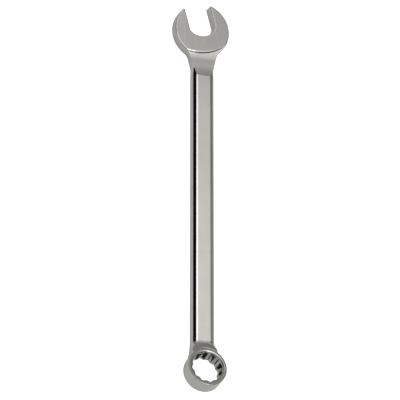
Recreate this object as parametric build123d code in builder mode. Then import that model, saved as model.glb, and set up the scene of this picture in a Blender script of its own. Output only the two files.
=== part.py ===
"""Combination wrench, 19 mm: an open jaw at one end and a 12-point ring at the other.

The tool is one drop forging. It is described here as its three named sections, which
meet face to face: the open-end head, the shank and the box-end ring.

Frame, in millimetres: +X runs along the shank towards the open jaw, +Z is up out of the
front face, and +Y is on the left when looking from the ring to the jaw. The origin is on
the flat back face of the shank, half way between the centres of the two ends.
"""
import os
from math import cos, radians, sin, sqrt

from build123d import *

# ---- driving dimensions ----
nut_size = 19.0              # across flats of the nut or bolt head that both ends take
centre_distance = 244.3      # ring centre to head centre, along the shank
thickness = 8.3              # shank, neck and head
shank_width = 17.0

head_radius = 20.2
head_offset = 1.0            # head centre, to the left of the shank's centre line
jaw_angle = 15.0             # jaw opening, turned to the left of the shank
jaw_opening = nut_size + 0.25
jaw_crossing = 1.55          # jaw centre line crosses the shank's, short of the head centre
throat_radius = 10.8
throat_depth = 3.0           # bottom of the jaw, behind that crossing
tip_rounding = 0.75
head_edge = 0.7              # soft forged edge round the head

neck_round = 35.5            # the shank's full-round sides start to sharpen here,
neck_flare = 29.8            # its concave sides start here,
neck_sharp = 22.0            # and it has the head's edge from here: all back from the head
neck_half_width = 8.25
left_flare = 30.0            # radii of the concave sides
right_flare = 36.0
left_shoulder = 10.0         # blends from the neck into the round head
right_shoulder = 12.0

scoop_radius = 80.0          # shallow hollow across the neck, front and back
scoop_depth = 1.0
scoop_start = 34.4           # its edge on the shank, back from the head centre
pad_radius = 36.0            # raised face of the head: radius at the foot of its step
pad_reach = 15.7             # foot of the step, behind the jaw crossing
pad_rounding = 1.6

ring_radius = 13.55
ring_thickness = 11.5
ring_tilt = 15.0             # ring axis, leaned towards the jaw end
ring_lift = 9.9              # ring centre above the back face
ring_edge = 0.5
bore_clocking = 6.0          # bore points, turned from the shank's centre line
bore_point_radius = 10.75    # the broach's points are cut off at this radius
mouth_radius = 12.1          # the bore's mouths are rounded over, from this radius
mouth_depth = 0.8

web_start = 20.5             # ring centre to where the front face starts to rise
web_foot = 20.2              # where the forging's sides start to rise with it
web_rise = 9.0               # radius of that rise
web_corner = 2.6             # its corner rounding by the time it reaches the ring
web_flare = 14.2             # the sides spread out to the ring on this radius,
web_spread = 14.6            # starting here

shank_to_ring = 25.0         # joint faces between the three sections, from the end centres
shank_to_head = 38.5

# ---- derived places ----
ring_x = -centre_distance / 2
head_x = centre_distance / 2
mid_height = thickness / 2
full_round = mid_height - 0.05
tilt = radians(ring_tilt)
ring_axis = (sin(tilt), 0, cos(tilt))
ring_along = (cos(tilt), 0, -sin(tilt))
ring_centre = (ring_x, 0, ring_lift)
ring_plane = Plane(origin=ring_centre, x_dir=ring_along, z_dir=ring_axis)
ring_profile_plane = Plane(origin=ring_centre, x_dir=ring_along, z_dir=(0, -1, 0))
jaw_along = (cos(radians(jaw_angle)), sin(radians(jaw_angle)), 0)
jaw_plane = Plane(origin=(head_x - jaw_crossing, 0, 0), x_dir=jaw_along, z_dir=(0, 0, 1))


def ease(start, end, x):
    """Runs smoothly from 0 at start to 1 at end."""
    t = min(max((x - start) / (end - start), 0), 1)
    return t * t * (3 - 2 * t)


def arc_rise(radius, run):
    """How far an arc that starts level has risen after this run."""
    return radius - sqrt(radius**2 - max(run, 0) ** 2)


def across(x, left, right, low, high):
    """The plane across the wrench at x, centred on a section with these limits."""
    middle = (x, (left - right) / 2, (low + high) / 2)
    return Plane(origin=middle, x_dir=(0, 1, 0), z_dir=(1, 0, 0))


# ---- shank: a flat bar with full-round sides ----
with BuildPart() as shank:
    with BuildSketch(Plane.YZ.offset(ring_x + shank_to_ring)):
        with Locations((0, mid_height)):
            RectangleRounded(shank_width, thickness, full_round)
    extrude(amount=centre_distance - shank_to_ring - shank_to_head)

# ---- open-end head ----
shank_end = head_x - shank_to_head
round_x = head_x - neck_round
flare_x = head_x - neck_flare
sharp_x = head_x - neck_sharp
inside_x = head_x - 12.0     # the neck's outline ends inside the round head


def neck_side(radius, x):
    """Half width of the neck on the side with this concave radius."""
    narrowing = (shank_width / 2 - neck_half_width) * (1 - ease(round_x, flare_x, x))
    return neck_half_width + narrowing + arc_rise(radius, x - flare_x)


def side_points(radius, side):
    stations = (sharp_x, (sharp_x + inside_x) / 2, inside_x)
    return [(x, side * neck_side(radius, x)) for x in stations]


straight = [shank_end, shank_end + 1, shank_end + 2]
sharpening = [round_x + i * (sharp_x - round_x) / 7 for i in range(1, 8)]

scoop_half_chord = sqrt(scoop_radius**2 - (scoop_radius - scoop_depth) ** 2)
scoop_x = head_x - scoop_start + scoop_half_chord
scoop_z = thickness - scoop_depth + scoop_radius
pad_run = sqrt(pad_rounding**2 - (pad_rounding - scoop_depth) ** 2)
pad_centre = jaw_plane.from_local_coords(Vector(pad_radius - pad_reach, 0, 0))

# the raised face of the head, and the hollow that leaves it standing proud of the neck
with BuildPart() as pad:
    with Locations(pad_centre):
        Cylinder(pad_radius - pad_run + pad_rounding, thickness,
                 align=(Align.CENTER, Align.CENTER, Align.MIN))
    fillet(pad.edges().group_by(Axis.Z)[-1], pad_rounding)

with BuildPart() as scoop:
    with BuildSketch(Plane.XZ):
        with Locations((scoop_x, scoop_z)):
            Circle(scoop_radius)
    extrude(amount=head_radius, both=True)
    add(pad.part, mode=Mode.SUBTRACT)

with BuildPart() as open_end_head:
    with BuildSketch() as outline:
        with BuildLine():
            left_side = ThreePointArc(*side_points(left_flare, 1))
            right_side = ThreePointArc(*side_points(right_flare, -1))
            Line(left_side @ 0, right_side @ 0)
            Line(left_side @ 1, right_side @ 1)
        make_face()
        with Locations((head_x, head_offset)):
            Circle(head_radius)
        concave = outline.vertices().filter_by_position(Axis.X, sharp_x + 1, head_x)
        fillet(concave.sort_by(Axis.Y)[-1], left_shoulder)
        concave = outline.vertices().filter_by_position(Axis.X, sharp_x + 1, head_x)
        fillet(concave.sort_by(Axis.Y)[0], right_shoulder)
        with BuildLine(jaw_plane):
            half = jaw_opening / 2
            throat_end = throat_radius - throat_depth - sqrt(throat_radius**2 - half**2)
            ThreePointArc((throat_end, half), (-throat_depth, 0), (throat_end, -half))
            Polyline((throat_end, -half), (2 * head_radius, -half),
                     (2 * head_radius, half), (throat_end, half))
        make_face(mode=Mode.SUBTRACT)
        fillet(outline.vertices().sort_by(Axis((0, 0, 0), jaw_along))[-2:], tip_rounding)
    extrude(amount=thickness)
    rims = open_end_head.edges().filter_by_position(Axis.X, sharp_x + 0.1, head_x * 2)
    fillet(rims.group_by(Axis.Z)[0] + rims.group_by(Axis.Z)[-1], head_edge)
    for x in straight + sharpening:
        left = neck_side(left_flare, x)
        right = neck_side(right_flare, x)
        corner = full_round + (head_edge - full_round) * ease(round_x, sharp_x, x) ** 2
        with BuildSketch(across(x, left, right, 0, thickness)):
            RectangleRounded(left + right, thickness, corner)
    loft()
    add(scoop.part, mode=Mode.SUBTRACT)
    add(mirror(scoop.part, about=Plane.XY.offset(mid_height), mode=Mode.PRIVATE), mode=Mode.SUBTRACT)

# ---- box-end ring ----
web_level = shank_to_ring - 1
web_inside = 6.8             # the web's last section, inside the ring's wall
web_steps = 9
web_stations = [web_level + i * (web_inside - web_level) / web_steps for i in range(web_steps + 1)]
rim_point = (ring_radius - 0.2, ring_thickness / 2 - ring_edge - 0.25)
level_point = ring_profile_plane.to_local_coords(Vector(ring_x + web_start, 0, thickness))
level_end = ring_profile_plane.to_local_coords(Vector(ring_x + 2 * web_start, 0, thickness))

# all that is cut away above the web, curving up to the ring's rim all round it
with BuildPart() as web_hollow:
    with BuildSketch(ring_profile_plane):
        with BuildLine():
            TangentArc((level_point.X, level_point.Y), rim_point, tangent=(-cos(tilt), -sin(tilt)))
            Polyline(rim_point, (0, rim_point[1]), (0, head_radius),
                     (level_end.X, head_radius), (level_end.X, level_end.Y),
                     (level_point.X, level_point.Y))
        make_face()
    revolve(axis=Axis(ring_centre, ring_axis))

# rounding over of the bore's mouth, which also takes down the ends of its teeth
mouth_face = ring_thickness / 2
mouth_floor = mouth_face - mouth_depth
with BuildPart() as bore_mouth:
    with BuildSketch(ring_profile_plane):
        with BuildLine():
            TangentArc((mouth_radius, mouth_face), (bore_point_radius, mouth_floor), tangent=(-1, 0))
            Polyline((bore_point_radius, mouth_floor), (0, mouth_floor), (0, mouth_face + 1),
                     (mouth_radius, mouth_face + 1), (mouth_radius, mouth_face))
        make_face()
    revolve(axis=Axis(ring_centre, ring_axis))

with BuildPart() as box_end_ring:
    for u in [shank_to_ring] + web_stations:
        lean = tilt * ease(web_level, ring_radius, u)
        spread = shank_width + 2 * arc_rise(web_flare, web_spread - u)
        rise = arc_rise(web_rise, web_foot - max(u, ring_radius - 1))
        corner = full_round + (web_corner - full_round) * ease(web_foot - 1, ring_radius - 1, u)
        low = -mid_height / cos(lean)
        high = (mid_height + rise) / cos(lean)
        middle = (low + high) / 2
        with BuildSketch(Plane(origin=(ring_x + u + middle * sin(lean), 0, mid_height + middle * cos(lean)),
                               x_dir=(0, 1, 0), z_dir=(cos(lean), 0, -sin(lean)))):
            RectangleRounded(spread, high - low, corner)
    loft()
    add(web_hollow.part, mode=Mode.SUBTRACT)
    with Locations(ring_plane.offset(-ring_thickness / 2)):
        Box(4 * ring_radius, 4 * ring_radius, ring_thickness, mode=Mode.SUBTRACT,
            align=(Align.CENTER, Align.CENTER, Align.MAX))
    with BuildSketch(ring_profile_plane) as ring_profile:
        with Locations((ring_radius / 2, 0)):
            Rectangle(ring_radius, ring_thickness)
        fillet(ring_profile.vertices().group_by(Axis((0, 0, 0), ring_along))[-1], ring_edge)
    revolve(axis=Axis(ring_centre, ring_axis))
    with BuildSketch(ring_plane) as bore:
        RegularPolygon(nut_size / 2, 6, major_radius=False, rotation=bore_clocking)
        RegularPolygon(nut_size / 2, 6, major_radius=False, rotation=bore_clocking + 30)
        Circle(bore_point_radius, mode=Mode.INTERSECT)
    extrude(amount=ring_thickness, both=True, mode=Mode.SUBTRACT)
    add(bore_mouth.part, mode=Mode.SUBTRACT)
    add(mirror(bore_mouth.part, about=ring_plane, mode=Mode.PRIVATE), mode=Mode.SUBTRACT)

os.makedirs("parts", exist_ok=True)
open_end_head.part.label = "open_end_head"
shank.part.label = "shank"
box_end_ring.part.label = "box_end_ring"
export_step(open_end_head.part, "parts/open_end_head.step")
export_step(shank.part, "parts/shank.step")
export_step(box_end_ring.part, "parts/box_end_ring.step")
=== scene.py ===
"""The look of the combination wrench: polished chrome under a soft studio light."""
from math import cos, radians, sin

import bpy
from mathutils import Matrix, Vector

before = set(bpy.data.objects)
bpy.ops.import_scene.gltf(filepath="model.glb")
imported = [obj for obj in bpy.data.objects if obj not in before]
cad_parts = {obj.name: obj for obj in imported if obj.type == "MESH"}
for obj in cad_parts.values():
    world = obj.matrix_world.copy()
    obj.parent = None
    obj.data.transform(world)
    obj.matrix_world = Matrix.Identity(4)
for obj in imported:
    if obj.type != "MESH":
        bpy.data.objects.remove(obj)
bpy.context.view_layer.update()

scene = bpy.context.scene
scene.view_settings.view_transform = "Standard"

# ---- camera: in front of the face, off to the left and towards the ring ----
aim = Vector((-0.0026, 0.0014, 0.00415))
camera_distance = 1.15
camera_side = radians(20.3)
camera_low = radians(16.7)
sensor_width = 36
focal_length = 150.3
far_limit = 20
back = Vector((-sin(camera_low),
               sin(camera_side) * cos(camera_low),
               cos(camera_side) * cos(camera_low)))
right = Vector((0, -cos(camera_side), sin(camera_side)))
up = back.cross(right)
data = bpy.data.cameras.new("camera")
data.sensor_width = sensor_width
data.lens = focal_length
data.clip_end = far_limit
camera = bpy.data.objects.new("camera", data)
basis = Matrix((right, up, back)).transposed().to_4x4()
basis.translation = aim + back * camera_distance
camera.matrix_world = basis
scene.collection.objects.link(camera)
scene.camera = camera


class Nodes:
    """Short names for building a node tree."""

    def __init__(self, tree):
        self.tree = tree

    def new(self, kind, **settings):
        node = self.tree.nodes.new(kind)
        for name, value in settings.items():
            setattr(node, name, value)
        return node

    def wire(self, source, target):
        """Joins an output to an input, or sets the input to a plain value."""
        if isinstance(source, (int, float, tuple)):
            target.default_value = source
        else:
            self.tree.links.new(source, target)

    def math(self, operation, a, b=0.0):
        node = self.new("ShaderNodeMath", operation=operation)
        self.wire(a, node.inputs[0])
        self.wire(b, node.inputs[1])
        return node.outputs[0]

    def spread(self, value, low, high, to_low=0.0, to_high=1.0):
        node = self.new("ShaderNodeMapRange")
        for source, target in zip((value, low, high, to_low, to_high), node.inputs):
            self.wire(source, target)
        return node.outputs[0]

    def ramp(self, value, stops, low, high, top):
        """A curve of plain numbers through these (place, height) stops."""
        node = self.new("ShaderNodeValToRGB")
        line = node.color_ramp
        while len(line.elements) < len(stops):
            line.elements.new(0.5)
        for element, (place, height) in zip(line.elements, stops):
            element.position = (place - low) / (high - low)
            element.color = (height / top, height / top, height / top, 1)
        self.wire(self.spread(value, low, high), node.inputs[0])
        return self.math("MULTIPLY", node.outputs[0], top)


# ---- studio: what the chrome reflects, by direction ----
world = bpy.data.worlds.new("studio")
scene.world = world
world.use_nodes = True
n = Nodes(world.node_tree)
background = world.node_tree.nodes["Background"]
direction = n.new("ShaderNodeSeparateXYZ")
n.wire(n.new("ShaderNodeTexCoord").outputs["Generated"], direction.inputs[0])
x, y, z = direction.outputs
degrees_per_radian = 57.2958
# sideways is 0 overhead and + to the left, endways is + towards the jaw, both in degrees
sideways = n.math("MULTIPLY", n.math("ARCTAN2", y, z), degrees_per_radian)
endways = n.math("MULTIPLY", n.math("ARCSINE", x), degrees_per_radian)
left_to_right = n.ramp(sideways, (
    (-90, 0.36), (-75, 0.24), (-46, 0.24), (-36, 0.38), (-26, 0.66), (-21.5, 0.78),
    (-19.4, 0.82), (-17.4, 1.55), (10, 1.55), (12.5, 0.75), (30, 0.62), (90, 0.54)), -90, 90, 1.55)
end_to_end = n.ramp(endways, (
    (-90, 0.5), (-55, 0.5), (-42, 0.04), (-31, 0.02), (-28, 1.3), (8, 1.25), (10, 1.05),
    (15.5, 1.0), (18, 0.88), (20.2, 0.86), (20.8, 0.7), (22.5, 0.6), (25, 0.64), (29, 0.7),
    (33, 0.52), (38, 0.45), (50, 0.4), (90, 0.3)), -90, 90, 1.3)


def blend(factor, a, b):
    node = n.new("ShaderNodeMix", data_type="FLOAT")
    for source, target in zip((factor, a, b), (node.inputs[0], node.inputs[2], node.inputs[3])):
        n.wire(source, target)
    return node.outputs[0]


# a dark card up to the left of the key light, and even tones at the two ends of the room
card_side = n.ramp(sideways, (
    (-90, 0.0), (10, 0.0), (12.5, 1.0), (74, 1.0), (79, 0.0), (90, 0.0)), -90, 90, 1.0)
card_end = n.ramp(endways, (
    (-90, 0.0), (4, 0.0), (7, 1.0), (29, 1.0), (35, 0.0), (90, 0.0)), -90, 90, 1.0)
at_ends = n.ramp(endways, (
    (-90, 1.0), (-75, 1.0), (-60, 0.0), (40, 0.0), (58, 1.0), (90, 1.0)), -90, 90, 1.0)
room_end_tone = 0.25
card_tone = 0.004
dimmed = 0.5
below_tone = 0.3             # under the horizon,
horizon = 0.03               # which is softened by this much each way
overhead = blend(at_ends, n.math("MULTIPLY", left_to_right, end_to_end), room_end_tone)
overhead = blend(n.math("MULTIPLY", card_side, card_end), overhead, card_tone)

# the middle of the room is dimmed, so that the faces aren't blown out from overhead
dim_side = n.ramp(sideways, (
    (-90, 0.0), (-12, 0.0), (-7, 1.0), (60, 1.0), (90, 0.0)), -90, 90, 1.0)
dim_end = n.ramp(endways, (
    (-90, 0.0), (-27, 0.0), (-22, 1.0), (8, 1.0), (11.5, 0.0), (90, 0.0)), -90, 90, 1.0)
dim_area = n.math("MULTIPLY", dim_side, dim_end)
overhead = n.math("MULTIPLY", overhead, n.spread(dim_area, 0.0, 1.0, 1.0, dimmed))
studio = blend(n.spread(z, -horizon, horizon), below_tone, overhead)
seen = n.new("ShaderNodeLightPath").outputs["Is Camera Ray"]
n.wire((1.0, 0.983, 0.935, 1.0), background.inputs["Color"])
n.wire(blend(seen, studio, 1.0), background.inputs["Strength"])


def table(name, height, reach, colour, glow):
    """A flat sheet under the wrench."""
    mesh = bpy.data.meshes.new(name)
    corners = [(-1, -1), (1, -1), (1, 1), (-1, 1)]
    mesh.from_pydata([(i * reach, j * reach, height) for i, j in corners], [], [(0, 1, 2, 3)])
    sheet = bpy.data.objects.new(name, mesh)
    scene.collection.objects.link(sheet)
    paper = bpy.data.materials.new(name)
    paper.use_nodes = True
    bsdf = paper.node_tree.nodes["Principled BSDF"]
    bsdf.inputs["Base Color"].default_value = (colour, colour, colour, 1)
    bsdf.inputs["Roughness"].default_value = 0.9
    bsdf.inputs["Specular IOR Level"].default_value = 0
    bsdf.inputs["Emission Color"].default_value = (1, 1, 1, 1)
    bsdf.inputs["Emission Strength"].default_value = glow
    mesh.materials.append(paper)
    return sheet


# the camera sees a plain white sheet; only the chrome sees the shaded table and the dark patch under the
# ring,
# # a painted shadow in the bore's reflections, which gives the bore's teeth their contrast
white = table("white_sheet", -0.001, 3, 0.3, 0.9)
white.visible_glossy = False
shaded = table("shaded_table", -0.0004, 0.6, 0.8, 0.15)
shaded.visible_camera = False
# painted shade: a near-black sheet under the ring that the bore's walls reflect
painted_shade_patch = table("shade_in_ring", -0.0002, 0.006, 0.05, 0.0)
painted_shade_patch.location = (-0.124, 0.001, 0)
painted_shade_patch.visible_camera = False


# ---- chrome ----
def chrome(name, tint, gloss, ripple, scratch, edge):
    """Polished chrome plate: faint ripple, polishing lines, handling marks, and soft edges on the head."""
    material = bpy.data.materials.new(name)
    material.use_nodes = True
    n = Nodes(material.node_tree)
    bsdf = material.node_tree.nodes["Principled BSDF"]
    place = n.new("ShaderNodeTexCoord").outputs["Object"]

    def noise(scale, stretch=(1, 1, 1), detail=3.0):
        mapping = n.new("ShaderNodeMapping")
        n.wire(place, mapping.inputs["Vector"])
        n.wire(stretch, mapping.inputs["Scale"])
        node = n.new("ShaderNodeTexNoise")
        n.wire(mapping.outputs[0], node.inputs["Vector"])
        n.wire(float(scale), node.inputs["Scale"])
        n.wire(detail, node.inputs["Detail"])
        return node.outputs[0]

    smudge = n.spread(noise(90, detail=4.0), 0.42, 0.7)
    lines = n.spread(noise(420, (0.12, 1, 1), 2.0), 0.5, 0.8)
    grain = noise(2600, detail=2.0)
    colour = n.new("ShaderNodeMix", data_type="RGBA")
    n.wire(smudge, colour.inputs[0])
    n.wire(tint + (1.0,), colour.inputs[6])
    n.wire(tuple(0.92 * c for c in tint) + (1.0,), colour.inputs[7])
    n.wire(colour.outputs[2], bsdf.inputs["Base Color"])
    n.wire(1.0, bsdf.inputs["Metallic"])
    smeared = n.spread(smudge, 0.0, 1.0, gloss, gloss + 0.05)
    rough = n.math("ADD", smeared, n.math("MULTIPLY", lines, 0.02))
    n.wire(rough, bsdf.inputs["Roughness"])
    wavy = n.new("ShaderNodeBump")
    n.wire(ripple, wavy.inputs["Strength"])
    n.wire(0.0002, wavy.inputs["Distance"])
    n.wire(noise(75, (0.5, 1, 1), 1.0), wavy.inputs["Height"])
    if edge:                 # not near the joint with the shank
        along = n.new("ShaderNodeSeparateXYZ")
        n.wire(place, along.inputs[0])
        worn = n.new("ShaderNodeBevel", samples=6)
        n.wire(n.spread(along.outputs[0], 0.098, 0.102, 0.0, edge), worn.inputs["Radius"])
        n.wire(worn.outputs[0], wavy.inputs["Normal"])
    fine = n.new("ShaderNodeBump")
    n.wire(scratch, fine.inputs["Strength"])
    n.wire(0.00001, fine.inputs["Distance"])
    n.wire(n.math("ADD", lines, n.math("MULTIPLY", grain, 0.4)), fine.inputs["Height"])
    n.wire(wavy.outputs[0], fine.inputs["Normal"])
    n.wire(fine.outputs[0], bsdf.inputs["Normal"])
    return material


finishes = {
    "shank": chrome("chrome_shank", (0.71, 0.71, 0.705), 0.05, 0.12, 0.25, 0),
    "open_end_head": chrome("chrome_head", (0.7, 0.7, 0.695), 0.06, 0.15, 0.35, 0.0007),
    "box_end_ring": chrome("chrome_ring", (0.7, 0.7, 0.695), 0.06, 0.15, 0.35, 0),
}
for name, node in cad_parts.items():
    node.data.materials.clear()
    node.data.materials.append(finishes[name])
